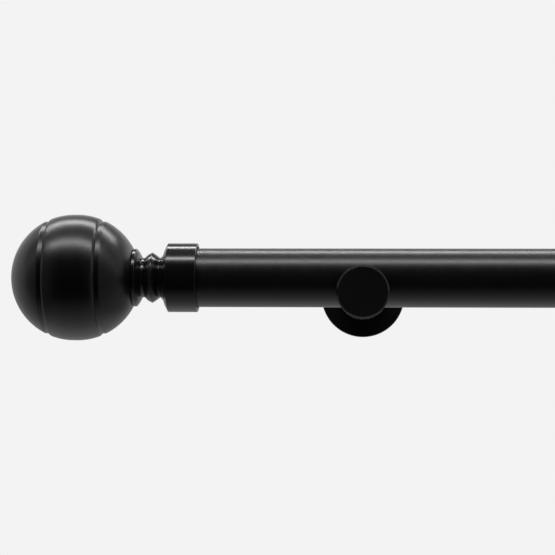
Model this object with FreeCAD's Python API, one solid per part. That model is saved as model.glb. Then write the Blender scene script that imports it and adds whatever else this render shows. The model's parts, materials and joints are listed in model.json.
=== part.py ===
# Wall-mounted curtain pole with two cylinder brackets and two ribbed ball finials.
#
# Frame: the origin lies in the wall plane, midway between the two brackets and level with the axes
# of their stems. +X runs along the pole, +Y points into the wall and +Z is up. Millimetres.
import FreeCAD, Part
import math
import os

from FreeCAD import Placement, Rotation, Vector

# Pole: one length of steel tube.
POLE_LENGTH = 1200.0
POLE_RADIUS = 17.5
POLE_WALL = 1.2
POLE_EDGE = 0.3                 # deburring chamfer at each end

# Brackets: a round stem stands out from a round rose, and the pole lies in a saddle cut in the stem.
BRACKET_SPACING = 972.0         # between the two stem axes
PROJECTION = 80.0               # from the wall to the pole's axis
STEM_RADIUS = 15.5
WEB_UNDER_POLE = 6.7            # metal left in the stem below the pole
SADDLE_GAP = 0.3                # between the pole and the saddle all round
FRONT_LIP = 3.7                 # stem metal in front of the saddle
SADDLE_EDGE = 0.5               # rounding of the saddle's edges
CAP_THICKNESS = 2.5
CAP_CHAMFER = 1.0
CAP_SPIGOT_RADIUS = 8.0
CAP_SPIGOT_LENGTH = 2.0

ROSE_RADIUS = 26.2
ROSE_HEIGHT = 8.0
ROSE_PLATE = 2.2                # thickness of the rose's front plate
ROSE_RIM = 2.7                  # thickness of its side wall
ROSE_EDGE = 1.0                 # rounding of its front edge
ROSE_WALL_GAP = 0.2             # the rim stops just short of the wall

DISC_RADIUS = 23.2              # hidden plate that is screwed to the wall
DISC_THICKNESS = 5.0
DISC_HOLE_RADIUS = 6.6          # clears the head of the stem bolt
DISC_GROOVE_DEPTH = 1.2
DISC_GROOVE_HALF_WIDTH = 1.3
WALL_SCREW_SPACING = 30.0
WALL_SCREW_HOLE_RADIUS = 2.5
COUNTERSINK_RADIUS = 4.8
COUNTERSINK_DEPTH = 2.3

STEM_BOLT_RADIUS = 3.0          # M6, from inside the rose into the stem
STEM_BOLT_REACH = 16.0
STEM_BOLT_HEAD_RADIUS = 5.25
STEM_BOLT_HEAD_HEIGHT = 3.3
STEM_BOLT_SOCKET = 4.0

CLAMP_SCREW_RADIUS = 2.5        # M5 under each saddle, holds the pole
CLAMP_SCREW_TIP_GAP = 0.4       # below the pole
CLAMP_SCREW_RECESS = 0.5        # its head sits inside the stem's underside
CLAMP_SCREW_SOCKET = 2.5
SMALL_SCREW_RADIUS = 2.0        # M4, locks each rose and each finial
SMALL_SCREW_SOCKET = 2.0
SCREW_CLEARANCE = 0.08          # between a screw's crest radius and its threaded hole
SCREW_CHAMFER = 0.4
ROSE_SCREW_TIP = 22.4           # from the stem's axis, inside the disc's groove
ROSE_SCREW_LENGTH = 3.6

# Finials: measured outwards along the pole from the mouth of the collar.
COLLAR_RADIUS = 20.5
COLLAR_LENGTH = 17.5
COLLAR_BORE_RADIUS = 18.6
COLLAR_BORE_DEPTH = 16.5
COLLAR_GRIP = 16.0              # how far the pole goes in
MOUTH_ROUND = 0.6
SLEEVE_WALL = 0.95              # split nylon sleeve between the collar and the pole
SLEEVE_INSET = 0.6
SLEEVE_CLEARANCE = 0.1
SLEEVE_SLIT = 2.4
NECK_END = 38.4                 # where the ball sits on the neck
VALLEY_RADIUS = 11.8
RIDGE_RADIUS = 15.0
RIDGE_AT = 27.0
SHOULDER_RADIUS = 13.7
SHOULDER_AT = 20.55
BEAD_RADIUS = 17.2
BEAD_START = 36.4
FIRST_VALLEY = (22.25, 22.6)    # start and end of the round bottom
SECOND_VALLEY = (31.55, 33.05)
CONE_SWELL = (19.2, 17.35)      # each flank of the neck swells out a little at this place
INNER_SWELL = (24.9, 13.62)
OUTER_SWELL = (29.6, 13.85)
BEAD_SWELL = (34.75, 15.1)
SWELL_ROUND = 7.0
STUD_RADIUS = 4.0               # M8
STUD_LENGTH = 30.0
STUD_START = 20.0
NUT_ACROSS_FLATS = 13.0
NUT_THICKNESS = 6.5
FINIAL_SCREW_AT = 8.0
FINIAL_SCREW_TIP_GAP = 0.3
FINIAL_SCREW_LENGTH = 2.5

BALL_RADIUS = 37.45
BALL_WALL = 2.5
BALL_HALF_STRAIGHT = 1.0        # short cylinder each side of the joint between the two halves
BALL_SEAT_DEPTH = 33.5          # from a half's centre to its flat seat
GROOVE_SHOULDER_AT = 12.5       # along the axis from a half's centre, where the round shoulder starts
GROOVE_FLOOR_AT = 14.6          # where the shoulder ends on the groove's straight floor
GROOVE_FLOOR_RADIUS = 33.35
GROOVE_SHOULDER_BULGE = 0.3

BRACKET_X = BRACKET_SPACING / 2
POLE_RISE = WEB_UNDER_POLE + POLE_RADIUS - STEM_RADIUS
POLE_END = POLE_LENGTH / 2
COLLAR_MOUTH = POLE_END - COLLAR_GRIP
SADDLE_RADIUS = POLE_RADIUS + SADDLE_GAP
STEM_FRONT = PROJECTION + SADDLE_RADIUS + FRONT_LIP
BALL_CENTRE = NECK_END + BALL_SEAT_DEPTH + BALL_HALF_STRAIGHT

ALONG = Vector(1, 0, 0)
OUT_OF_WALL = Vector(0, -1, 0)
TO_WALL = Vector(0, 1, 0)
UP = Vector(0, 0, 1)
DOWN = Vector(0, 0, -1)


# ---- shared shapes -------------------------------------------------------------------------------
# A turned piece is drawn as (along, out) points in the XY plane and turned about the X axis.

def point(along, out):
    return Vector(along, out, 0)


def rounded_edges(corners):
    """Edges of the closed outline through (along, out, radius) corners, each rounded to its radius."""
    stretches = []
    for index, (along, out, radius) in enumerate(corners):
        here = point(along, out)
        if not radius:
            stretches.append((here, here, here))
            continue
        back = (point(*corners[index - 1][:2]) - here).normalize()
        ahead = (point(*corners[(index + 1) % len(corners)][:2]) - here).normalize()
        half_angle = back.getAngle(ahead) / 2
        reach = radius / math.tan(half_angle)
        middle = (back + ahead).normalize() * (radius / math.sin(half_angle) - radius)
        stretches.append((here + back * reach, here + middle, here + ahead * reach))
    edges = []
    for index, (start, middle, end) in enumerate(stretches):
        if start != end:
            edges.append(Part.Arc(start, middle, end).toShape())
        following = stretches[(index + 1) % len(stretches)][0]
        if end.distanceToPoint(following) > 1e-6:
            edges.append(Part.LineSegment(end, following).toShape())
    return edges


def turned_from_edges(edges):
    face = Part.Face(Part.Wire(Part.__sortEdges__(edges)))
    return face.revolve(Vector(0, 0, 0), ALONG, 360)


def turned(corners):
    """Solid of revolution about the X axis from (along, out, radius) corners."""
    return turned_from_edges(rounded_edges(corners))


def rod(radius, start, end):
    return Part.makeCylinder(radius, end - start, Vector(start, 0, 0), ALONG)


def hexagon_prism(across_flats, start, end):
    circumradius = across_flats / math.sqrt(3)
    turns = [math.radians(60 * side + 30) for side in range(7)]
    corners = [Vector(start, circumradius * math.cos(t), circumradius * math.sin(t)) for t in turns]
    return Part.Face(Part.makePolygon(corners)).extrude(ALONG * (end - start))


def placed(shape, origin, direction):
    """Copy of a shape drawn along +X, moved so that it starts at origin and runs along direction."""
    copy = shape.copy()
    copy.Placement = Placement(origin, Rotation(ALONG, direction))
    return copy


def grub_screw(radius, length, socket, tip_radius):
    """Headless socket screw along +X with its tip at the origin."""
    crest = radius - SCREW_CLEARANCE
    cone = crest - tip_radius
    body = turned([
        (0, 0, 0),
        (0, tip_radius, 0),
        (cone, crest, 0),
        (length - SCREW_CHAMFER, crest, 0),
        (length, crest - SCREW_CHAMFER, 0),
        (length, 0, 0),
    ])
    return body.cut(hexagon_prism(socket, length * 0.45, length + 1))


# ---- pole ----------------------------------------------------------------------------------------

def pole_tube():
    inner = POLE_RADIUS - POLE_WALL
    tube = turned([
        (-POLE_END, inner, 0),
        (-POLE_END, POLE_RADIUS - POLE_EDGE, 0),
        (-POLE_END + POLE_EDGE, POLE_RADIUS, 0),
        (POLE_END - POLE_EDGE, POLE_RADIUS, 0),
        (POLE_END, POLE_RADIUS - POLE_EDGE, 0),
        (POLE_END, inner, 0),
    ])
    return placed(tube, Vector(0, -PROJECTION, POLE_RISE), ALONG)


# ---- bracket -------------------------------------------------------------------------------------
# Each piece is drawn with +X standing out of the wall along the stem's axis, and its own -Z as the
# room's -Z, then turned to face the room.

def wall_disc():
    groove_middle = DISC_THICKNESS / 2
    disc = turned([
        (0, DISC_HOLE_RADIUS, 0),
        (0, DISC_RADIUS, 0.3),
        (groove_middle - DISC_GROOVE_HALF_WIDTH, DISC_RADIUS, 0),
        (groove_middle, DISC_RADIUS - DISC_GROOVE_DEPTH, 0),
        (groove_middle + DISC_GROOVE_HALF_WIDTH, DISC_RADIUS, 0),
        (DISC_THICKNESS, DISC_RADIUS, 0.3),
        (DISC_THICKNESS, DISC_HOLE_RADIUS, 0),
    ])
    sink_start = DISC_THICKNESS - COUNTERSINK_DEPTH
    screw_hole = turned([
        (-1, 0, 0),
        (-1, WALL_SCREW_HOLE_RADIUS, 0),
        (sink_start, WALL_SCREW_HOLE_RADIUS, 0),
        (DISC_THICKNESS, COUNTERSINK_RADIUS, 0),
        (DISC_THICKNESS + 1, COUNTERSINK_RADIUS, 0),
        (DISC_THICKNESS + 1, 0, 0),
    ])
    for side in (-1, 1):
        disc = disc.cut(placed(screw_hole, UP * (side * WALL_SCREW_SPACING / 2), ALONG))
    return disc


def rose():
    inner = ROSE_RADIUS - ROSE_RIM
    cup = turned([
        (ROSE_WALL_GAP, inner, 0),
        (ROSE_WALL_GAP, ROSE_RADIUS, 0.3),
        (ROSE_HEIGHT, ROSE_RADIUS, ROSE_EDGE),
        (ROSE_HEIGHT, STEM_BOLT_RADIUS + 0.2, 0),
        (ROSE_HEIGHT - ROSE_PLATE, STEM_BOLT_RADIUS + 0.2, 0),
        (ROSE_HEIGHT - ROSE_PLATE, inner, 0.5),
    ])
    screw_hole = Part.makeCylinder(
        SMALL_SCREW_RADIUS, ROSE_RADIUS, Vector(DISC_THICKNESS / 2, 0, -DISC_RADIUS + 2), DOWN)
    return cup.cut(screw_hole)


def stem():
    bar = turned([
        (ROSE_HEIGHT, 0, 0),
        (ROSE_HEIGHT, STEM_RADIUS, 0),
        (STEM_FRONT, STEM_RADIUS, 0),
        (STEM_FRONT, CAP_SPIGOT_RADIUS, 0),
        (STEM_FRONT - CAP_SPIGOT_LENGTH - 0.2, CAP_SPIGOT_RADIUS, 0),
        (STEM_FRONT - CAP_SPIGOT_LENGTH - 0.2, 0, 0),
    ])
    pole_centre = Vector(PROJECTION, 0, POLE_RISE)
    width = 2 * STEM_RADIUS + 2
    across = Vector(0, 1, 0)
    seat = Part.makeCylinder(SADDLE_RADIUS, width, pole_centre - across * (width / 2), across)
    slot = Part.makeBox(
        2 * SADDLE_RADIUS, width, STEM_RADIUS,
        pole_centre - Vector(SADDLE_RADIUS, width / 2, 0))
    bar = bar.cut(seat.fuse(slot).removeSplitter())
    bar = rounded_saddle(bar)
    bolt_hole = rod(STEM_BOLT_RADIUS, ROSE_HEIGHT - 1, ROSE_HEIGHT + STEM_BOLT_REACH)
    clamp_hole = Part.makeCylinder(
        CLAMP_SCREW_RADIUS, STEM_RADIUS + 2, Vector(PROJECTION, 0, -STEM_RADIUS - 2), UP)
    return bar.cut(bolt_hole).cut(clamp_hole)


def rounded_saddle(bar):
    """The stem with the long edges of its saddle rounded, where the cut meets the stem's side."""
    saddle_edges = []
    for edge in bar.Edges:
        box = edge.BoundBox
        inside = box.XMin > PROJECTION - SADDLE_RADIUS - 0.01
        inside = inside and box.XMax < PROJECTION + SADDLE_RADIUS + 0.01
        middle = edge.valueAt((edge.FirstParameter + edge.LastParameter) / 2)
        on_side = abs(math.hypot(middle.y, middle.z) - STEM_RADIUS) < 0.01
        if inside and on_side:
            saddle_edges.append(edge)
    return bar.makeFillet(SADDLE_EDGE, saddle_edges)


def end_cap():
    return turned([
        (STEM_FRONT - CAP_SPIGOT_LENGTH, 0, 0),
        (STEM_FRONT - CAP_SPIGOT_LENGTH, CAP_SPIGOT_RADIUS - 0.02, 0),
        (STEM_FRONT, CAP_SPIGOT_RADIUS - 0.02, 0),
        (STEM_FRONT, STEM_RADIUS, 0),
        (STEM_FRONT + CAP_THICKNESS - CAP_CHAMFER, STEM_RADIUS, 0.2),
        (STEM_FRONT + CAP_THICKNESS, STEM_RADIUS - CAP_CHAMFER, 0.2),
        (STEM_FRONT + CAP_THICKNESS, 0, 0),
    ])


def stem_bolt():
    head_top = ROSE_HEIGHT - ROSE_PLATE
    head_end = head_top - STEM_BOLT_HEAD_HEIGHT
    shank = STEM_BOLT_RADIUS - 0.04
    bolt = turned([
        (head_end, 0, 0),
        (head_end, STEM_BOLT_HEAD_RADIUS, 1.2),
        (head_top, STEM_BOLT_HEAD_RADIUS, 0.2),
        (head_top, shank, 0),
        (head_top + STEM_BOLT_REACH, shank, 0.5),
        (head_top + STEM_BOLT_REACH, 0, 0),
    ])
    return bolt.cut(hexagon_prism(STEM_BOLT_SOCKET, head_end - 1, head_end + 2))


def rose_screw():
    screw = grub_screw(SMALL_SCREW_RADIUS, ROSE_SCREW_LENGTH, SMALL_SCREW_SOCKET, 0.2)
    return placed(screw, Vector(DISC_THICKNESS / 2, 0, -ROSE_SCREW_TIP), DOWN)


def clamp_screw():
    tip = POLE_RISE - POLE_RADIUS - CLAMP_SCREW_TIP_GAP
    length = tip + STEM_RADIUS - CLAMP_SCREW_RECESS
    screw = grub_screw(CLAMP_SCREW_RADIUS, length, CLAMP_SCREW_SOCKET, 1.6)
    return placed(screw, Vector(PROJECTION, 0, tip), DOWN)


BRACKET_PIECES = {
    "wall_disc": wall_disc,
    "rose": rose,
    "stem": stem,
    "end_cap": end_cap,
    "stem_bolt": stem_bolt,
    "rose_screw": rose_screw,
    "clamp_screw": clamp_screw,
}


def bracket(side):
    """The pieces of one bracket; side is -1 for the left one and 1 for the right one."""
    facing_room = Placement(Vector(side * BRACKET_X, 0, 0), Rotation(ALONG, OUT_OF_WALL))
    pieces = {}
    for name, make in BRACKET_PIECES.items():
        shape = make()
        shape.Placement = facing_room.multiply(shape.Placement)
        pieces[name] = shape
    return pieces


# ---- finial --------------------------------------------------------------------------------------
# Drawn along +X outwards from the mouth of the collar, with +Y towards the wall.

def neck_collar():
    body = turned([
        (0, COLLAR_BORE_RADIUS, 0.2),
        (0, COLLAR_RADIUS, MOUTH_ROUND),
        (COLLAR_LENGTH, COLLAR_RADIUS, 0.4),
        (*CONE_SWELL, SWELL_ROUND),
        (SHOULDER_AT, SHOULDER_RADIUS, 0.3),
        (FIRST_VALLEY[0], VALLEY_RADIUS, 0.3),
        (FIRST_VALLEY[1], VALLEY_RADIUS, 0.3),
        (*INNER_SWELL, SWELL_ROUND),
        (RIDGE_AT, RIDGE_RADIUS, 0.45),
        (*OUTER_SWELL, SWELL_ROUND),
        (SECOND_VALLEY[0], VALLEY_RADIUS, 0.4),
        (SECOND_VALLEY[1], VALLEY_RADIUS, 0.4),
        (*BEAD_SWELL, SWELL_ROUND),
        (BEAD_START, BEAD_RADIUS, 0.5),
        (NECK_END, BEAD_RADIUS, 0.6),
        (NECK_END, 0, 0),
        (COLLAR_BORE_DEPTH, 0, 0),
        (COLLAR_BORE_DEPTH, COLLAR_BORE_RADIUS, 0.3),
    ])
    stud_hole = rod(STUD_RADIUS, STUD_START - 0.5, NECK_END + 1)
    screw_hole = Part.makeCylinder(
        SMALL_SCREW_RADIUS, COLLAR_RADIUS, Vector(FINIAL_SCREW_AT, COLLAR_RADIUS / 2, 0), TO_WALL)
    return body.cut(stud_hole).cut(screw_hole)


def collar_sleeve():
    inner = POLE_RADIUS + SLEEVE_CLEARANCE
    ring = turned([
        (SLEEVE_INSET, inner, 0.3),
        (SLEEVE_INSET, inner + SLEEVE_WALL, 0.2),
        (COLLAR_GRIP + 0.3, inner + SLEEVE_WALL, 0.2),
        (COLLAR_GRIP + 0.3, inner, 0.2),
    ])
    slit = Part.makeBox(
        COLLAR_LENGTH + 2, SLEEVE_SLIT, COLLAR_RADIUS, Vector(-1, -SLEEVE_SLIT / 2, 0))
    screw_hole = Part.makeCylinder(
        SMALL_SCREW_RADIUS + 0.3, COLLAR_RADIUS, Vector(FINIAL_SCREW_AT, 0, 0), TO_WALL)
    return ring.cut(slit).cut(screw_hole)


def finial_screw():
    tip = POLE_RADIUS + FINIAL_SCREW_TIP_GAP
    screw = grub_screw(SMALL_SCREW_RADIUS, FINIAL_SCREW_LENGTH, SMALL_SCREW_SOCKET, 1.3)
    return placed(screw, Vector(FINIAL_SCREW_AT, tip, 0), TO_WALL)


def finial_stud():
    crest = STUD_RADIUS - 0.04
    return turned([
        (STUD_START, 0, 0),
        (STUD_START, crest, 0.7),
        (STUD_START + STUD_LENGTH, crest, 0.7),
        (STUD_START + STUD_LENGTH, 0, 0),
    ])


def ball_nut():
    start = NECK_END + BALL_WALL
    end = start + NUT_THICKNESS
    return hexagon_prism(NUT_ACROSS_FLATS, start, end).cut(rod(STUD_RADIUS, start - 1, end + 1))


def on_sphere(radius, along):
    """Point of a half ball's outline, at a distance along the axis from that half's centre."""
    return point(along, math.sqrt(radius ** 2 - along ** 2))


def sphere_arc(radius, start, end):
    """Arc of a half ball's outline between two distances along the axis."""
    turn = (math.acos(start / radius) + math.acos(end / radius)) / 2
    middle = on_sphere(radius, radius * math.cos(turn))
    return Part.Arc(on_sphere(radius, start), middle, on_sphere(radius, end)).toShape()


def grooved_half(seat_depth):
    """Edges of a half ball's outer outline, from its open edge over the groove to seat_depth."""
    open_edge = point(-BALL_HALF_STRAIGHT, BALL_RADIUS)
    shoulder = on_sphere(BALL_RADIUS, GROOVE_SHOULDER_AT)
    floor_start = point(GROOVE_FLOOR_AT, GROOVE_FLOOR_RADIUS)
    floor_end_at = math.sqrt(BALL_RADIUS ** 2 - GROOVE_FLOOR_RADIUS ** 2)
    chord = floor_start - shoulder
    outwards = Vector(-chord.y, chord.x, 0).normalize()
    bulge = shoulder + chord * 0.5 + outwards * GROOVE_SHOULDER_BULGE
    return [
        Part.LineSegment(open_edge, point(0, BALL_RADIUS)).toShape(),
        sphere_arc(BALL_RADIUS, 0, GROOVE_SHOULDER_AT),
        Part.Arc(shoulder, bulge, floor_start).toShape(),
        Part.LineSegment(floor_start, on_sphere(BALL_RADIUS, floor_end_at)).toShape(),
        sphere_arc(BALL_RADIUS, floor_end_at, seat_depth),
    ]


def ball_outer_half():
    """The far half: a closed dome. Its open edge is at the ball's middle."""
    inner = BALL_RADIUS - BALL_WALL
    edges = grooved_half(BALL_RADIUS) + [
        Part.LineSegment(point(BALL_RADIUS, 0), point(inner, 0)).toShape(),
        sphere_arc(inner, inner, 0),
        Part.LineSegment(point(0, inner), point(-BALL_HALF_STRAIGHT, inner)).toShape(),
        Part.LineSegment(
            point(-BALL_HALF_STRAIGHT, inner), point(-BALL_HALF_STRAIGHT, BALL_RADIUS)).toShape(),
    ]
    return placed(turned_from_edges(edges), Vector(BALL_CENTRE + BALL_HALF_STRAIGHT, 0, 0), ALONG)


def ball_inner_half():
    """The half next to the neck, with a flat seat and a hole for the stud."""
    inner = BALL_RADIUS - BALL_WALL
    hole = STUD_RADIUS + 0.2
    seat_inside = BALL_SEAT_DEPTH - BALL_WALL
    seat_edge = on_sphere(BALL_RADIUS, BALL_SEAT_DEPTH)
    inside_edge = on_sphere(inner, seat_inside)
    edges = grooved_half(BALL_SEAT_DEPTH) + [
        Part.LineSegment(seat_edge, point(BALL_SEAT_DEPTH, hole)).toShape(),
        Part.LineSegment(point(BALL_SEAT_DEPTH, hole), point(seat_inside, hole)).toShape(),
        Part.LineSegment(point(seat_inside, hole), inside_edge).toShape(),
        sphere_arc(inner, seat_inside, 0),
        Part.LineSegment(point(0, inner), point(-BALL_HALF_STRAIGHT, inner)).toShape(),
        Part.LineSegment(
            point(-BALL_HALF_STRAIGHT, inner), point(-BALL_HALF_STRAIGHT, BALL_RADIUS)).toShape(),
    ]
    half = turned_from_edges(edges)
    return placed(half, Vector(BALL_CENTRE - BALL_HALF_STRAIGHT, 0, 0), Vector(-1, 0, 0))


FINIAL_PIECES = {
    "neck_collar": neck_collar,
    "collar_sleeve": collar_sleeve,
    "finial_screw": finial_screw,
    "finial_stud": finial_stud,
    "ball_nut": ball_nut,
    "ball_inner_half": ball_inner_half,
    "ball_outer_half": ball_outer_half,
}


def finial(side):
    """The pieces of one finial; the left one is the right one mirrored in the middle of the pole."""
    at_pole_end = Placement(Vector(COLLAR_MOUTH, -PROJECTION, POLE_RISE), Rotation())
    pieces = {}
    for name, make in FINIAL_PIECES.items():
        shape = make()
        shape.Placement = at_pole_end.multiply(shape.Placement)
        pieces[name] = shape if side > 0 else shape.mirror(Vector(0, 0, 0), ALONG)
    return pieces


def main():
    os.makedirs("parts", exist_ok=True)
    pieces = {"pole_tube": pole_tube()}
    for side, prefix in ((-1, "left"), (1, "right")):
        for name, shape in {**bracket(side), **finial(side)}.items():
            pieces[f"{prefix}_{name}"] = shape
    for node, shape in pieces.items():
        if not shape.isValid() or len(shape.Solids) != 1:
            raise ValueError(f"{node} is not one valid solid")
        shape.exportStep(f"parts/{node}.step")
        print(f"{node}: {shape.Volume / 1000:.2f} cm3")


main()
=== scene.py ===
import json
import math

import bmesh
import bpy
from mathutils import Matrix, Vector


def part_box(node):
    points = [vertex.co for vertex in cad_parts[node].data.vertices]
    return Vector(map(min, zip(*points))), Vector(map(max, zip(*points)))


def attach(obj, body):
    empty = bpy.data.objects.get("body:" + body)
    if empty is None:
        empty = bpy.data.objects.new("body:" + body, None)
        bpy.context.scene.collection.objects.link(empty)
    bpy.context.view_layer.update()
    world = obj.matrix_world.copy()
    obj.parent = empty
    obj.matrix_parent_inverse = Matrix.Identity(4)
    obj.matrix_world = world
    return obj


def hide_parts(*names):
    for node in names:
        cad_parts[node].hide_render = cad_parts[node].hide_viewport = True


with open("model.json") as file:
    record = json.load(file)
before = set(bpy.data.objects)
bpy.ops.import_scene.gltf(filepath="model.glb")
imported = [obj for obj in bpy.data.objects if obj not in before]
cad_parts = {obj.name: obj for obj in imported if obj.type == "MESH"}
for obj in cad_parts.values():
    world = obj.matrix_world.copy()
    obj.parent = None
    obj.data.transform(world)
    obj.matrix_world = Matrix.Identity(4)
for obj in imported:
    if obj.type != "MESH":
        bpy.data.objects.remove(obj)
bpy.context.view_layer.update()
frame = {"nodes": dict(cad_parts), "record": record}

# Curtain rod with brackets: the visible pieces, their materials, and a plain studio.
# Metres, in the CAD part's frame: +X along the rod, +Y into the wall, +Z up.

MM = 0.001
NODES = frame["nodes"]
SIDES = {"left": -1, "right": 1}

ROD_LOW, ROD_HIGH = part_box("pole_tube")
ROD_CENTRE = (ROD_LOW + ROD_HIGH) / 2
ROD_RADIUS = (ROD_HIGH.z - ROD_LOW.z) / 2
ROD_END = ROD_HIGH.x
ROD_WALL = 1.2 * MM

LATHE_STEPS = 192               # facets round a turned piece
CORNER_STEPS = 6                # facets across a rounded corner
SUPPORT = 0.12                  # mm: short facet beside each rounded corner, which keeps flat faces flat
SHARP_ANGLE = math.radians(35)  # a crease sharper than this isn't shaded smooth
ON_AXIS = 1e-7                  # a point of an outline nearer to its axis than this lies on it


# ---- outlines and turned pieces ------------------------------------------------------------------
# An outline is a closed list of (along, out) points, in metres, turned about the piece's own axis.

def rounded(corners, steps=CORNER_STEPS):
    """Outline through (along, out, radius) corners in millimetres, each rounded to its radius."""
    outline = []
    count = len(corners)
    for index, (along, out, radius) in enumerate(corners):
        here = Vector((along, out))
        if not radius:
            outline.append(here)
            continue
        back = Vector(corners[index - 1][:2]) - here
        ahead = Vector(corners[(index + 1) % count][:2]) - here
        half_angle = back.angle(ahead) / 2
        reach = radius / math.tan(half_angle)
        back.normalize()
        ahead.normalize()
        middle = here + (back + ahead).normalized() * (radius / math.sin(half_angle))
        start = here + back * reach
        end = here + ahead * reach
        outline.append(start + back * SUPPORT)
        outline += arc(middle, start, end, steps)
        outline.append(end + ahead * SUPPORT)
    return [point * MM for point in outline]


def arc(middle, start, end, steps):
    """Points along the shorter arc about middle, from start to end."""
    first = start - middle
    turn = first.angle_signed(end - middle)
    return [middle + Matrix.Rotation(-turn * step / steps, 2) @ first for step in range(steps + 1)]


def curve(start, control, end, steps):
    """Points along the parabola from start to end that leaves start and meets end towards control."""
    points = []
    for step in range(steps + 1):
        t = step / steps
        points.append(start * (1 - t) ** 2 + control * 2 * t * (1 - t) + end * t ** 2)
    return points


def turned(name, outline, place, steps=LATHE_STEPS):
    """A closed piece of revolution: the outline's first number runs along place's X axis."""
    mesh = bpy.data.meshes.new(name)
    turned_mesh = bmesh.new()
    angles = [2 * math.pi * step / steps for step in range(steps)]
    rings = []
    for along, out in outline:
        if out < ON_AXIS:
            rings.append([turned_mesh.verts.new((along, 0, 0))])
            continue
        circle = [(along, out * math.cos(angle), out * math.sin(angle)) for angle in angles]
        rings.append([turned_mesh.verts.new(point) for point in circle])
    for ring, following in zip(rings, rings[1:] + rings[:1]):
        for step in range(steps):
            corners = [ring[step % len(ring)], ring[(step + 1) % len(ring)],
                       following[(step + 1) % len(following)], following[step % len(following)]]
            distinct = list(dict.fromkeys(corners))
            if len(distinct) > 2:
                turned_mesh.faces.new(distinct)
    bmesh.ops.recalc_face_normals(turned_mesh, faces=turned_mesh.faces)
    turned_mesh.to_mesh(mesh)
    turned_mesh.free()
    mesh.transform(place)
    mesh.shade_smooth()
    mesh.set_sharp_from_angle(angle=SHARP_ANGLE)
    piece = bpy.data.objects.new(name, mesh)
    bpy.context.scene.collection.objects.link(piece)
    return piece


def drilled(piece, radius, start, direction, depth, steps=48):
    """Cuts a round hole into a piece, from start and along direction."""
    hole = bpy.data.meshes.new("hole")
    cutter_mesh = bmesh.new()
    bmesh.ops.create_cone(
        cutter_mesh, cap_ends=True, segments=steps, radius1=radius, radius2=radius, depth=depth)
    cutter_mesh.to_mesh(hole)
    cutter_mesh.free()
    cutter = bpy.data.objects.new("hole", hole)
    bpy.context.scene.collection.objects.link(cutter)
    cutter.rotation_mode = "QUATERNION"
    cutter.rotation_quaternion = direction.to_track_quat("Z", "Y")
    cutter.location = start + direction * depth / 2
    cut = piece.modifiers.new("hole", "BOOLEAN")
    cut.operation = "DIFFERENCE"
    cut.solver = "EXACT"
    cut.object = cutter
    apply_modifiers(piece)
    bpy.data.objects.remove(cutter)
    bpy.data.meshes.remove(hole)


def apply_modifiers(piece):
    """Puts the piece's finished mesh in place of its modifiers."""
    bpy.context.view_layer.update()
    depsgraph = bpy.context.evaluated_depsgraph_get()
    finished = bpy.data.meshes.new_from_object(piece.evaluated_get(depsgraph))
    piece.modifiers.clear()
    old = piece.data
    piece.data = finished
    bpy.data.meshes.remove(old)
    finished.set_sharp_from_angle(angle=SHARP_ANGLE)


# ---- materials -----------------------------------------------------------------------------------

NOISE_LOW, NOISE_HIGH = 0.3, 0.7    # nearly all of a noise texture's values lie between these


class Material:
    """A node material being built: add() makes a node and link() joins two sockets."""

    def __init__(self, name):
        self.material = bpy.data.materials.new(name)
        self.material.use_nodes = True
        self.tree = self.material.node_tree
        self.shader = self.tree.nodes["Principled BSDF"]
        self.place = self.add("ShaderNodeTexCoord").outputs["Object"]

    def add(self, kind, **settings):
        node = self.tree.nodes.new(kind)
        for key, value in settings.items():
            setattr(node, key, value)
        return node

    def link(self, source, target):
        self.tree.links.new(source, target)

    def noise(self, size, detail=2.0, roughness=0.5, stretch=(1, 1, 1)):
        """Noise whose features are about size metres across, 0 to 1 about 0.5."""
        mapping = self.add("ShaderNodeMapping")
        mapping.inputs["Scale"].default_value = stretch
        texture = self.add("ShaderNodeTexNoise")
        texture.inputs["Scale"].default_value = 1 / size
        texture.inputs["Detail"].default_value = detail
        texture.inputs["Roughness"].default_value = roughness
        self.link(self.place, mapping.inputs["Vector"])
        self.link(mapping.outputs["Vector"], texture.inputs["Vector"])
        return texture.outputs["Fac"]

    def ranged(self, value, low, high):
        """Spreads a noise value over low to high."""
        spread = self.add("ShaderNodeMapRange")
        spread.inputs["From Min"].default_value = NOISE_LOW
        spread.inputs["From Max"].default_value = NOISE_HIGH
        spread.inputs["To Min"].default_value = low
        spread.inputs["To Max"].default_value = high
        self.link(value, spread.inputs["Value"])
        return spread.outputs["Result"]

    def tinted(self, value, dark, light):
        """A colour between dark and light, by a noise value."""
        ramp = self.add("ShaderNodeValToRGB")
        ramp.color_ramp.elements[0].position = NOISE_LOW
        ramp.color_ramp.elements[0].color = (*dark, 1)
        ramp.color_ramp.elements[1].position = NOISE_HIGH
        ramp.color_ramp.elements[1].color = (*light, 1)
        self.link(value, ramp.inputs["Fac"])
        return ramp.outputs["Color"]

    def bumps(self, *layers):
        """Adds bump layers, each a (value, height in metres) pair, one on top of the other."""
        normal = None
        for value, height in layers:
            bump = self.add("ShaderNodeBump")
            bump.inputs["Strength"].default_value = 1.0
            bump.inputs["Distance"].default_value = height
            self.link(value, bump.inputs["Height"])
            if normal is not None:
                self.link(normal, bump.inputs["Normal"])
            normal = bump.outputs["Normal"]
        self.link(normal, self.shader.inputs["Normal"])

    def set(self, **values):
        """Sets shader inputs to plain values."""
        for key, value in values.items():
            self.shader.inputs[key.replace("_", " ")].default_value = value


def powder_coat(name, black, sheen, peel):
    """Black powder coat: its base level, its roughness, and the height of its orange peel in metres."""
    coat = Material(name)
    coat.set(IOR=1.5)
    coat.link(coat.tinted(coat.noise(45 * MM), (black * 0.8,) * 3, (black * 1.2,) * 3),
              coat.shader.inputs["Base Color"])
    coat.link(coat.ranged(coat.noise(6 * MM, detail=4), sheen * 0.94, sheen * 1.06),
              coat.shader.inputs["Roughness"])
    coat.bumps((coat.noise(1.6 * MM, detail=1), peel), (coat.noise(0.35 * MM, detail=2), peel * 0.4))
    return coat.material


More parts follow.
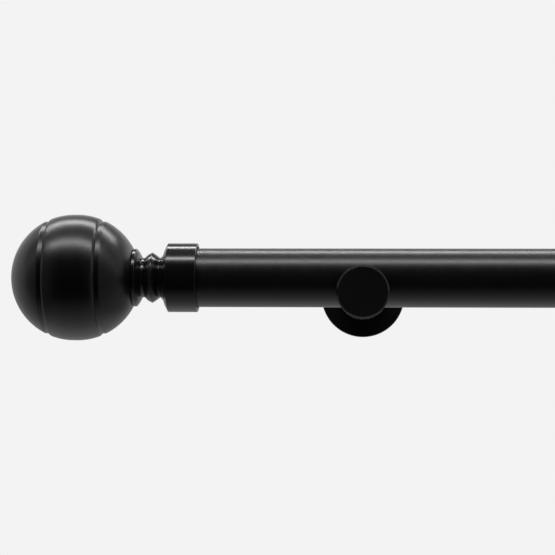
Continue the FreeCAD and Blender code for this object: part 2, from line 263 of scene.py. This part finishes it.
def zinc_plate(name):
    """Bright zinc plating: cold grey metal with a faint blotch and fine scratches."""
    plate = Material(name)
    plate.set(Metallic=1.0)
    blotch = plate.noise(7 * MM, detail=3)
    plate.link(plate.tinted(blotch, (0.50, 0.52, 0.55), (0.66, 0.68, 0.70)),
               plate.shader.inputs["Base Color"])
    wear = plate.noise(2.5 * MM, detail=5)
    plate.link(plate.ranged(wear, 0.26, 0.42), plate.shader.inputs["Roughness"])
    plate.bumps((plate.noise(0.3 * MM, detail=2, stretch=(1, 1, 6)), 0.002 * MM))
    return plate.material


def black_oxide(name):
    """Blackened steel: dark, slightly brown metal with a dull, uneven sheen."""
    oxide = Material(name)
    oxide.set(Metallic=0.7)
    blotch = oxide.noise(1.5 * MM, detail=3)
    oxide.link(oxide.tinted(blotch, (0.020, 0.019, 0.018), (0.045, 0.043, 0.040)),
               oxide.shader.inputs["Base Color"])
    wear = oxide.noise(0.8 * MM, detail=4)
    oxide.link(oxide.ranged(wear, 0.38, 0.55), oxide.shader.inputs["Roughness"])
    oxide.bumps((oxide.noise(0.15 * MM, detail=2), 0.002 * MM))
    return oxide.material


def moulded_nylon(name):
    """Black nylon with a fine moulded grain."""
    nylon = Material(name)
    blotch = nylon.noise(9 * MM, detail=3)
    nylon.link(nylon.tinted(blotch, (0.008,) * 3, (0.014,) * 3), nylon.shader.inputs["Base Color"])
    wear = nylon.noise(1.2 * MM, detail=3)
    nylon.link(nylon.ranged(wear, 0.42, 0.55), nylon.shader.inputs["Roughness"])
    nylon.bumps((nylon.noise(0.4 * MM, detail=3), 0.004 * MM))
    return nylon.material


MATERIALS = {
    "black_coat_pole": powder_coat("rod_powder_coat", 0.0038, 0.32, 0.003 * MM),
    "black_coat_finial": powder_coat("finial_powder_coat", 0.001, 0.30, 0.002 * MM),
    "black_coat_bracket": powder_coat("bracket_powder_coat", 0.0085, 0.12, 0.002 * MM),
    "zinc_steel": zinc_plate("zinc_plate"),
    "black_screw_steel": black_oxide("black_oxide"),
    "nylon": moulded_nylon("moulded_nylon"),
}


GLOSSY_NECK = powder_coat("neck_powder_coat", 0.0038, 0.19, 0.001 * MM)


def paint_cad_nodes():
    """Gives every CAD node the procedural material of its slot."""
    for subpart in frame["record"]["subparts"]:
        node = NODES[subpart["node"]]
        node.data.materials.clear()
        node.data.materials.append(MATERIALS[subpart["material_slot"]])


def stands_for(piece, node, body, slot, material=None):
    """Shows the piece instead of a CAD node, moving with its body, in the slot's material or another."""
    piece.data.materials.clear()
    piece.data.materials.append(material or MATERIALS[slot])
    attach(piece, body)
    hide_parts(node)


# ---- rod -----------------------------------------------------------------------------------------

ROD_OUTER_EDGE = 0.3
ROD_INNER_EDGE = 0.1


def rod():
    """The tube, open at both ends, with its cut edges broken."""
    outer = ROD_RADIUS / MM
    inner = (ROD_RADIUS - ROD_WALL) / MM
    end = ROD_END / MM
    outline = rounded([
        (-end, inner, ROD_INNER_EDGE),
        (-end, outer, ROD_OUTER_EDGE),
        (end, outer, ROD_OUTER_EDGE),
        (end, inner, ROD_INNER_EDGE),
    ])
    piece = turned("rod", outline, Matrix.Translation((0, ROD_CENTRE.y, ROD_CENTRE.z)))
    stands_for(piece, "pole_tube", "pole", "black_coat_pole")


# ---- finials -------------------------------------------------------------------------------------

# Millimetres, measured along the rod's axis and out from it.
BALL_RADIUS = 37.45
BALL_WALL = 2.5
BALL_STRAIGHT = 1.0             # cylindrical stretch at each half's open edge
BALL_SEAT = 33.5                # from the half's middle to its flat seat on the neck
STUD_HOLE_RADIUS = 4.2
GROOVE_SHOULDER = 12.5          # where the ball's surface turns down into the groove
GROOVE_LEAVE = 1.57             # how far the groove's flank follows the shoulder's slope
GROOVE_FLOOR = 14.6
GROOVE_FLOOR_RADIUS = 33.35
GROOVE_SUPPORT = 0.15           # short facet at each end of the groove's floor
GROOVE_CAP_ROUND = 0.35
BALL_STEPS = 40                 # facets from the groove to the seat or the pole
BALL_INSIDE_STEPS = 24
FLANK_STEPS = 12
CAP_STEPS = 5

COLLAR_RADIUS = 20.5
COLLAR_LENGTH = 17.5
COLLAR_BORE = 18.6
COLLAR_BORE_DEPTH = 16.5
VALLEY_RADIUS = 11.8
BEAD_RADIUS = 17.2
NECK_LENGTH = 38.4
STUD_BORE = 4.0
STUD_BORE_START = 19.5
SWELL_ROUND = 7.0               # radius of the gentle bulge along each slope
SCREW_HOLE_RADIUS = 2.0


def on_sphere(radius, along):
    """The point of a sphere's outline at a distance along its axis."""
    return Vector((along, math.sqrt(radius ** 2 - along ** 2)))


def sphere_points(radius, start, end, steps):
    """Points on a half ball's outline between two distances along its axis."""
    first, last = math.acos(start / radius), math.acos(end / radius)
    turns = [first + (last - first) * step / steps for step in range(steps + 1)]
    return [Vector((radius * math.cos(turn), radius * math.sin(turn))) for turn in turns]


def grooved_outline(seat):
    """A half ball's outside from its open edge, over the turned groove, to seat."""
    shoulder = on_sphere(BALL_RADIUS, GROOVE_SHOULDER)
    slope = Vector((shoulder.y, -shoulder.x)).normalized()
    floor_start = Vector((GROOVE_FLOOR, GROOVE_FLOOR_RADIUS))
    cap_at = math.sqrt(BALL_RADIUS ** 2 - GROOVE_FLOOR_RADIUS ** 2)
    cap = on_sphere(BALL_RADIUS, cap_at)
    floor_end = cap - Vector((GROOVE_CAP_ROUND, 0))
    outline = [Vector((-BALL_STRAIGHT, BALL_RADIUS))]
    outline += sphere_points(BALL_RADIUS, 0, GROOVE_SHOULDER, FLANK_STEPS)[:-1]
    outline += curve(shoulder, shoulder + slope * GROOVE_LEAVE, floor_start, FLANK_STEPS)
    outline += [floor_start + Vector((GROOVE_SUPPORT, 0)), floor_end - Vector((GROOVE_SUPPORT, 0))]
    outline += curve(floor_end, cap, on_sphere(BALL_RADIUS, cap_at + GROOVE_CAP_ROUND), CAP_STEPS)
    outline += sphere_points(BALL_RADIUS, cap_at + 2 * GROOVE_CAP_ROUND, seat, BALL_STEPS)
    return outline


def ball_half(name, seat, place):
    """A hollow half ball. seat is how far it reaches: its radius for a dome, less for a flat seat."""
    inner = BALL_RADIUS - BALL_WALL
    outline = grooved_outline(seat)
    if seat < BALL_RADIUS:
        outline += [Vector((seat, STUD_HOLE_RADIUS)), Vector((seat - BALL_WALL, STUD_HOLE_RADIUS))]
        outline += sphere_points(inner, seat - BALL_WALL, 0, BALL_INSIDE_STEPS)
    else:
        outline += sphere_points(inner, inner, 0, BALL_INSIDE_STEPS)
    outline.append(Vector((-BALL_STRAIGHT, inner)))
    return turned(name, [point * MM for point in outline], place)


def neck_outline():
    """The neck from its collar's mouth to the ball, then back along its bores."""
    collar = [(0, COLLAR_BORE, 0.2), (0, COLLAR_RADIUS, 0.6), (COLLAR_LENGTH, COLLAR_RADIUS, 0.4)]
    cone = [(19.2, 17.35, SWELL_ROUND), (20.55, 13.7, 0.3)]
    first_valley = [(22.25, VALLEY_RADIUS, 0.3), (22.6, VALLEY_RADIUS, 0.3)]
    ridge = [(24.9, 13.62, SWELL_ROUND), (27.0, 15.0, 0.45), (29.6, 13.85, SWELL_ROUND)]
    second_valley = [(31.55, VALLEY_RADIUS, 0.4), (33.05, VALLEY_RADIUS, 0.4)]
    bead = [(34.75, 15.1, SWELL_ROUND), (36.4, BEAD_RADIUS, 0.5), (NECK_LENGTH, BEAD_RADIUS, 0.6)]
    stud_bore = [(NECK_LENGTH, STUD_BORE, 0), (STUD_BORE_START, STUD_BORE, 0), (STUD_BORE_START, 0, 0)]
    collar_bore = [(COLLAR_BORE_DEPTH, 0, 0), (COLLAR_BORE_DEPTH, COLLAR_BORE, 0.3)]
    return rounded(collar + cone + first_valley + ridge + second_valley + bead + stud_bore + collar_bore)


def finial(side, sign):
    """One finial's visible shells, drawn outwards from its collar's mouth."""
    neck_low, neck_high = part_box(f"{side}_neck_collar")
    mouth_x = neck_low.x if sign > 0 else neck_high.x
    body = f"{side}_finial"
    outwards = Matrix.Translation((mouth_x, ROD_CENTRE.y, ROD_CENTRE.z)) @ Matrix.Rotation(
        0 if sign > 0 else math.pi, 4, "Z")
    inwards = Matrix.Rotation(math.pi, 4, "Z")
    middle = NECK_LENGTH + BALL_SEAT + BALL_STRAIGHT

    neck = turned(f"{side}_neck", neck_outline(), outwards)
    screw_low, screw_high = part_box(f"{side}_finial_screw")
    inside_collar = Vector(((screw_low.x + screw_high.x) / 2, ROD_CENTRE.y + 10 * MM, ROD_CENTRE.z))
    to_wall = Vector((0, 1, 0))
    drilled(neck, SCREW_HOLE_RADIUS * MM, inside_collar, to_wall, 12 * MM)
    stands_for(neck, f"{side}_neck_collar", body, "black_coat_finial", GLOSSY_NECK)

    dome_at = outwards @ Matrix.Translation(((middle + BALL_STRAIGHT) * MM, 0, 0))
    dome = ball_half(f"{side}_ball_dome", BALL_RADIUS, dome_at)
    stands_for(dome, f"{side}_ball_outer_half", body, "black_coat_finial")

    cup_at = outwards @ Matrix.Translation(((middle - BALL_STRAIGHT) * MM, 0, 0)) @ inwards
    cup = ball_half(f"{side}_ball_cup", BALL_SEAT, cup_at)
    stands_for(cup, f"{side}_ball_inner_half", body, "black_coat_finial")


# ---- brackets ------------------------------------------------------------------------------------

# Millimetres, measured out from the wall and from the stem's axis.
SPIGOT_RADIUS = 8.0
SPIGOT_LENGTH = 2.0
CAP_THICKNESS = 2.5
CAP_CHAMFER = 1.0
ROSE_WALL_GAP = 0.2
ROSE_WALL = 2.7
ROSE_FACE = 2.2
ROSE_EDGE = 1.0
BOLT_HOLE_RADIUS = 3.2
ROSE_SCREW_HEIGHT = 2.5
ROSE_SCREW_BELOW = 21.0
ROSE_SCREW_HOLE_DEPTH = 8.0


def facing_room(low, high):
    """Places an outline drawn from the wall into the room, about the middle of a CAD node's box."""
    centre = (low + high) / 2
    return Matrix.Translation((centre.x, 0, centre.z)) @ Matrix.Rotation(-math.pi / 2, 4, "Z")


def end_cap(side):
    """The chamfered disc in the stem's front end, with its spigot."""
    low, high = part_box(f"{side}_end_cap")
    radius = (high.x - low.x) / 2 / MM
    front = -low.y / MM
    back = front - CAP_THICKNESS
    outline = rounded([
        (back - SPIGOT_LENGTH, 0, 0),
        (back - SPIGOT_LENGTH, SPIGOT_RADIUS, 0.2),
        (back, SPIGOT_RADIUS, 0),
        (back, radius, 0.1),
        (front - CAP_CHAMFER, radius, 0.25),
        (front, radius - CAP_CHAMFER, 0.25),
        (front, 0, 0),
    ])
    piece = turned(f"{side}_stem_cap", outline, facing_room(low, high))
    stands_for(piece, f"{side}_end_cap", "brackets", "black_coat_bracket")


def rose_cover(side):
    """The round cover against the wall, hollow behind, with the hole for its grub screw below."""
    low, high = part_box(f"{side}_rose")
    radius = (high.x - low.x) / 2 / MM
    height = -low.y / MM
    inner = radius - ROSE_WALL
    outline = rounded([
        (ROSE_WALL_GAP, inner, 0.1),
        (ROSE_WALL_GAP, radius, 0.3),
        (height, radius, ROSE_EDGE),
        (height, BOLT_HOLE_RADIUS, 0),
        (height - ROSE_FACE, BOLT_HOLE_RADIUS, 0),
        (height - ROSE_FACE, inner, 0.5),
    ])
    centre = (low + high) / 2
    piece = turned(f"{side}_rose_cover", outline, facing_room(low, high))
    inside_rose = Vector((centre.x, -ROSE_SCREW_HEIGHT * MM, centre.z - ROSE_SCREW_BELOW * MM))
    down = Vector((0, 0, -1))
    drilled(piece, SCREW_HOLE_RADIUS * MM, inside_rose, down, ROSE_SCREW_HOLE_DEPTH * MM)
    stands_for(piece, f"{side}_rose", "brackets", "black_coat_bracket")


# ---- studio --------------------------------------------------------------------------------------

BACKDROP = 0.896                # the backdrop's brightness where the camera sees it directly
LIGHT_HEIGHT = 3.0              # of both soft boxes, above the rod
STUDIO_X = -0.66                # the soft boxes are arranged over the left finial
FLOOR_RADIUS = 3.4
FLOOR_BELOW = 0.62              # from the stems' axes down to the floor

# How bright the room is round the rod, for three thirds of its width. Each stop is an angle about
# the rod, in degrees from the camera's side upwards, and a brightness.
ROOM = {
    "left": [(-180, 0.55), (-110, 0.40), (-70, 0.10), (30, 0.15), (60, 0.30), (80, 0.80), (98, 0.05),
             (128, 0.70), (180, 0.55)],
    "middle": [(-180, 0.50), (-150, 0.48), (-120, 0.70), (-80, 0.35), (-40, 0.01), (45, 0.01), (56, 0.4),
               (72, 0.5), (82, 0.15), (96, 0.30), (104, 0.0), (140, 0.1), (157, 1.0), (180, 0.50)],
    "right": [(-180, 1.50), (-150, 0.25), (-110, 0.33), (-30, 0.15), (30, 0.20), (50, 0.45), (64, 1.0),
              (80, 0.35), (96, 0.25), (112, 0.9), (130, 0.1), (152, 1.6), (180, 1.50)],
}
THIRDS = (0.45, 0.65)           # sideways share of the direction where one third fades into the next


def studio_world():
    """A white room seen by the camera, and for the object a room that is dark on the camera's side."""
    world = bpy.data.worlds.new("studio")
    world.use_nodes = True
    bpy.context.scene.world = world
    tree = world.node_tree
    nodes, links = tree.nodes, tree.links
    nodes.clear()

    def math_node(operation, *values):
        node = nodes.new("ShaderNodeMath")
        node.operation = operation
        for index, value in enumerate(values):
            if isinstance(value, (int, float)):
                node.inputs[index].default_value = value
            else:
                links.new(value, node.inputs[index])
        return node.outputs["Value"]

    def room_third(share_round, stops):
        curve_node = nodes.new("ShaderNodeFloatCurve")
        points = curve_node.mapping.curves[0].points
        spots = [((angle + 180) / 360, brightness / 2) for angle, brightness in stops]
        points[0].location = spots[0]
        points[1].location = spots[-1]
        for spot in spots[1:-1]:
            points.new(*spot)
        for point in points:
            point.handle_type = "VECTOR"
        curve_node.mapping.update()
        links.new(share_round, curve_node.inputs["Value"])
        return math_node("MULTIPLY", curve_node.outputs["Value"], 2.0)

    def fade(value, low, high):
        spread = nodes.new("ShaderNodeMapRange")
        spread.inputs["From Min"].default_value = low
        spread.inputs["From Max"].default_value = high
        links.new(value, spread.inputs["Value"])
        return spread.outputs["Result"]

    direction = nodes.new("ShaderNodeSeparateXYZ")
    links.new(nodes.new("ShaderNodeTexCoord").outputs["Generated"], direction.inputs["Vector"])
    to_camera = math_node("MULTIPLY", direction.outputs["Y"], -1.0)
    about_rod = math_node("ARCTAN2", direction.outputs["Z"], to_camera)
    share_round = math_node("MULTIPLY_ADD", about_rod, 0.5 / math.pi, 0.5)
    level = room_third(share_round, ROOM["middle"])
    for third, low, high in (("left", -THIRDS[0], -THIRDS[1]), ("right", THIRDS[0], THIRDS[1])):
        blend = nodes.new("ShaderNodeMix")
        links.new(fade(direction.outputs["X"], low, high), blend.inputs["Factor"])
        links.new(level, blend.inputs["A"])
        links.new(room_third(share_round, ROOM[third]), blend.inputs["B"])
        level = blend.outputs["Result"]

    for_object = nodes.new("ShaderNodeBackground")
    links.new(level, for_object.inputs["Strength"])
    for_camera = nodes.new("ShaderNodeBackground")
    for_camera.inputs["Strength"].default_value = BACKDROP
    for_object.inputs["Color"].default_value = (1, 1, 1, 1)
    for_camera.inputs["Color"].default_value = (1, 1, 1, 1)
    chosen = nodes.new("ShaderNodeMixShader")
    links.new(nodes.new("ShaderNodeLightPath").outputs["Is Camera Ray"], chosen.inputs["Fac"])
    links.new(for_object.outputs["Background"], chosen.inputs[1])
    links.new(for_camera.outputs["Background"], chosen.inputs[2])
    links.new(chosen.outputs["Shader"], nodes.new("ShaderNodeOutputWorld").inputs["Surface"])


def soft_box(name, middle_x, middle_y, length, depth, radiance):
    """A horizontal soft box above the rod; places and sizes are shares of its height."""
    light = bpy.data.lights.new(name, "AREA")
    light.shape = "RECTANGLE"
    light.size = length * LIGHT_HEIGHT
    light.size_y = depth * LIGHT_HEIGHT
    light.energy = radiance * math.pi * light.size * light.size_y
    box = bpy.data.objects.new(name, light)
    box.location = (STUDIO_X + middle_x * LIGHT_HEIGHT, ROD_CENTRE.y + middle_y * LIGHT_HEIGHT,
                    ROD_CENTRE.z + LIGHT_HEIGHT)
    box.visible_camera = False
    bpy.context.scene.collection.objects.link(box)


def floor():
    """A round pale floor below the camera's view, open to a camera underneath it.

    Only the camera sees it: it takes the object's shadow but gives it no light and no reflection.
    """
    mesh = bpy.data.meshes.new("floor")
    disc = bmesh.new()
    bmesh.ops.create_circle(disc, cap_ends=True, segments=128, radius=FLOOR_RADIUS)
    disc.to_mesh(mesh)
    disc.free()
    piece = bpy.data.objects.new("floor", mesh)
    piece.location = (0, 0, -FLOOR_BELOW)
    bpy.context.scene.collection.objects.link(piece)
    paint = Material("pale_floor")
    paint.set(Roughness=0.9)
    paint.link(paint.tinted(paint.noise(0.4, detail=3), (0.60, 0.60, 0.60), (0.63, 0.63, 0.63)),
               paint.shader.inputs["Base Color"])
    see_through = paint.add("ShaderNodeMixShader")
    paint.link(paint.add("ShaderNodeNewGeometry").outputs["Backfacing"], see_through.inputs["Fac"])
    paint.link(paint.shader.outputs["BSDF"], see_through.inputs[1])
    paint.link(paint.add("ShaderNodeBsdfTransparent").outputs["BSDF"], see_through.inputs[2])
    paint.link(see_through.outputs["Shader"], paint.tree.nodes["Material Output"].inputs["Surface"])
    mesh.materials.append(paint.material)
    piece.visible_shadow = False
    piece.visible_glossy = False
    piece.visible_diffuse = False


# The camera's place, in metres, and its turns, in degrees: to the left, upwards, and about its own axis.
CAMERA_DISTANCE = 1.015         # from the rod's axis
CAMERA_BELOW = 0.0363           # below the rod's axis
CAMERA_ASIDE = 0.0001           # left of the left stem's axis
CAMERA_TURN, CAMERA_TILT, CAMERA_ROLL = 2.85, 2.057, 0.19
FOCAL_LENGTH = 111.15           # mm, for a sensor of SENSOR_WIDTH
SENSOR_WIDTH = 36.0


def camera():
    """Stands straight in front of the left bracket, about a metre from the rod and a little below it."""
    stem_low, stem_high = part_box("left_stem")
    lens = bpy.data.cameras.new("camera")
    lens.lens = FOCAL_LENGTH
    lens.sensor_width = SENSOR_WIDTH
    eye = bpy.data.objects.new("camera", lens)
    place = Matrix.Translation((
        (stem_low.x + stem_high.x) / 2 - CAMERA_ASIDE,
        ROD_CENTRE.y - CAMERA_DISTANCE,
        ROD_CENTRE.z - CAMERA_BELOW,
    ))
    turn = Matrix.Rotation(math.radians(CAMERA_TURN), 4, "Z")
    tilt = Matrix.Rotation(math.radians(90 + CAMERA_TILT), 4, "X")
    roll = Matrix.Rotation(math.radians(CAMERA_ROLL), 4, "Z")
    eye.matrix_world = place @ turn @ tilt @ roll
    bpy.context.scene.collection.objects.link(eye)
    bpy.context.scene.camera = eye


def studio():
    """The room, its lights, the floor and the camera, with colours shown as they are."""
    view = bpy.context.scene.view_settings
    view.view_transform = "Standard"
    view.look = "None"
    studio_world()
    soft_box("front_soft_box", middle_x=-0.02, middle_y=-0.466, length=1.64, depth=0.189, radiance=10.6)
    soft_box("back_soft_box", middle_x=0.07, middle_y=0.5475, length=1.70, depth=0.193, radiance=12.6)
    floor()
    camera()


paint_cad_nodes()
rod()
for side, sign in SIDES.items():
    finial(side, sign)
    end_cap(side)
    rose_cover(side)
studio()
